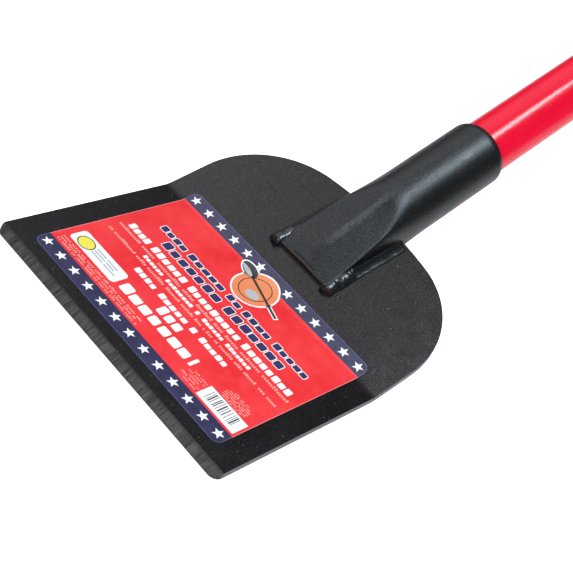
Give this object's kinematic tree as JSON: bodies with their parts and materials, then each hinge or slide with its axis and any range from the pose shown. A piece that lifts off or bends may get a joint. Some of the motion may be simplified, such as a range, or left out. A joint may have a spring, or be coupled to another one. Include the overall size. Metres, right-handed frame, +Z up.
{
  "type": "roofing shovel",
  "caption": "Long-handled scraping shovel with a flat, square-edged steel blade bent up at the rear, a pressed and welded tube socket and a round red handle.",
  "frame": {"origin": "middle of the cutting edge, on the underside of the blade, whose front part lies flat on the XY plane", "axes": "+X from the cutting edge towards the handle, +Y to the user's left, +Z up out of the blade's top face"},
  "size_m": [1.3534, 0.1906, 0.5884],
  "materials": {
    "blade_paint": "satin black paint over plate steel",
    "socket_paint": "satin black paint over tube",
    "weld_paint": "gloss black paint over weld bead",
    "handle_red": "glossy fibreglass",
    "handle_liner": "bare fibreglass",
    "plug_wood": "plain dowel",
    "rivet_steel": "zinc plated",
    "cap_black": "moulded, matte",
    "label_vinyl": "printed vinyl"
  },
  "bodies": {
    "root": {"blade": "blade_paint", "socket": "socket_paint", "weld_top_left": "weld_paint", "weld_top_right": "weld_paint", "weld_under_left": "weld_paint", "weld_under_right": "weld_paint", "handle_outer_tube": "handle_red", "handle_inner_tube": "handle_liner", "handle_plug": "plug_wood", "socket_rivet": "rivet_steel", "end_cap": "cap_black", "blade_label": "label_vinyl"}
  },
  "joints": []
}
